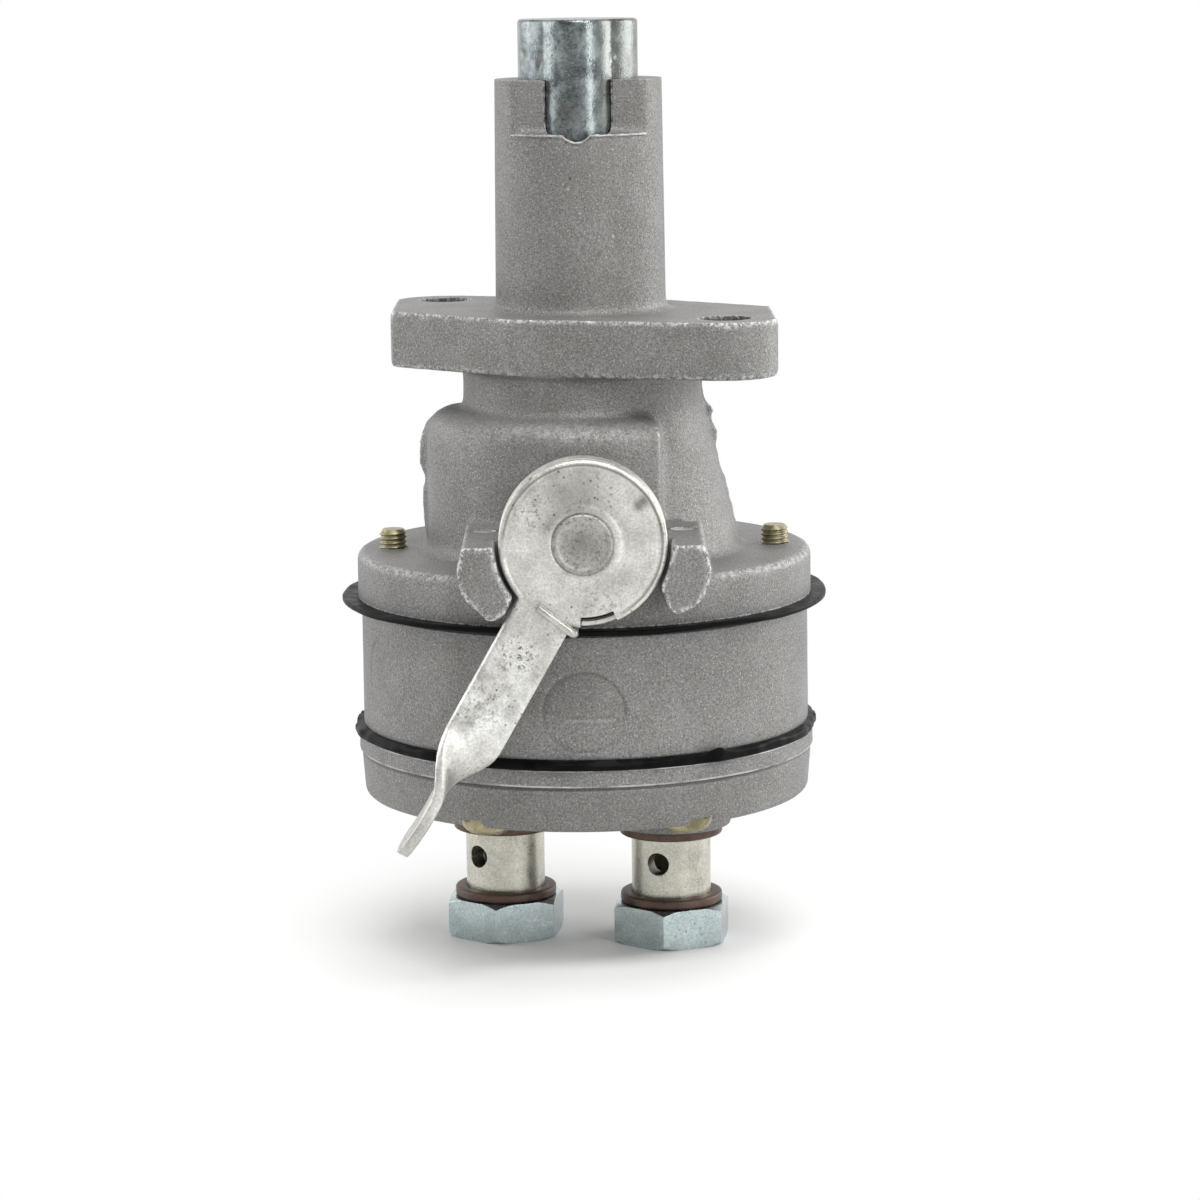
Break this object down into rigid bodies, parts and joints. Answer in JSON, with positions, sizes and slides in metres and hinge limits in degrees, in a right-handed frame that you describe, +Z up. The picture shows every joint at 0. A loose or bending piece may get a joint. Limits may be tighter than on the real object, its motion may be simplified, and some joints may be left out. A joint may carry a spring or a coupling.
{
  "type": "fuel lift pump",
  "caption": "Cam-driven diaphragm fuel lift pump: cast housing with tappet tube, slanted two-bolt flange, round valve body, hand priming lever and banjo bolts below.",
  "frame": {"origin": "centre of the mounting flange's upper face, on the tappet's axis", "axes": "+Z up the tappet tube, out of the mounting face; -Y towards the priming lever; +X to its right"},
  "size_m": [0.085, 0.0936, 0.162],
  "materials": {
    "cast_aluminium": "sand-textured casting, lightly blasted, bright at its edges",
    "plated_tappet": "mottled zinc plate over drawn steel",
    "plated_lever": "zinc plate on pressed sheet, with dark specks",
    "plated_bolt": "bluish zinc plate with fine scratches",
    "yellow_plated_screw": "yellow passivated zinc plate",
    "bright_steel": "turned bright steel",
    "spring_steel": "oiled spring steel",
    "spring_wire": "zinc-plated spring wire",
    "black_rubber": "fabric-backed nitrile rubber, matt",
    "brass": "turned brass",
    "copper_washer": "dull brown copper"
  },
  "bodies": {
    "pump": {"pump_housing": "cast_aluminium", "rod_seal": "black_rubber", "diaphragm": "black_rubber", "valve_body": "cast_aluminium", "cover_gasket": "black_rubber", "bottom_cover": "cast_aluminium", "cover_screws": "yellow_plated_screw", "inlet_valve_seat": "brass", "inlet_valve_cage": "brass", "inlet_valve_spring": "spring_steel", "outlet_valve_seat": "brass", "outlet_valve_cage": "brass", "outlet_valve_spring": "spring_steel", "inlet_banjo_bolt": "plated_bolt", "outlet_banjo_bolt": "plated_bolt", "inlet_upper_washer": "copper_washer", "inlet_lower_washer": "copper_washer", "outlet_upper_washer": "copper_washer", "outlet_lower_washer": "copper_washer", "return_spring": "spring_steel"},
    "tappet": {"tappet": "plated_tappet"},
    "rod": {"push_rod": "bright_steel", "spring_seat": "bright_steel", "rod_clip": "spring_steel", "rod_nut": "bright_steel", "upper_plate": "bright_steel", "lower_plate": "bright_steel", "pressure_spring": "spring_steel"},
    "lever": {"primer_lever": "plated_lever", "spring_cup": "plated_lever", "priming_shaft": "plated_lever", "shaft_o_ring": "black_rubber", "shaft_circlip": "spring_steel", "lever_spring": "spring_wire"},
    "inlet_valve": {"inlet_valve_disc": "black_rubber"},
    "outlet_valve": {"outlet_valve_disc": "black_rubber"}
  },
  "joints": [
    {"name": "tappet_slide", "type": "slide", "parent": "pump", "child": "tappet", "axis": [0, 0, -1], "range_m": [0, 0.004], "stiffness_N_per_m": 2500, "springref_m": -0.004},
    {"name": "rod_slide", "type": "slide", "parent": "pump", "child": "rod", "axis": [0, 0, -1], "range_m": [0, 0.004], "deforming": ["return_spring", "diaphragm"]},
    {"name": "priming_swing", "type": "hinge", "parent": "pump", "child": "lever", "pos_m": [0, -0.046, -0.0343], "axis": [0, -1, 0], "range_deg": [0, 59], "stiffness_Nm_per_rad": 0.12, "springref_deg": -28.65, "deforming": ["lever_spring"]},
    {"name": "inlet_valve_lift", "type": "slide", "parent": "pump", "child": "inlet_valve", "axis": [0, 0, 1], "range_m": [0, 0.001], "stiffness_N_per_m": 20, "springref_m": -0.002, "deforming": ["inlet_valve_spring"]},
    {"name": "outlet_valve_lift", "type": "slide", "parent": "pump", "child": "outlet_valve", "axis": [0, 0, -1], "range_m": [0, 0.001], "stiffness_N_per_m": 20, "springref_m": -0.002, "deforming": ["outlet_valve_spring"]}
  ],
  "couplings": [
    {"joint": "rod_slide", "follows": "tappet_slide", "ratio": 1}
  ]
}
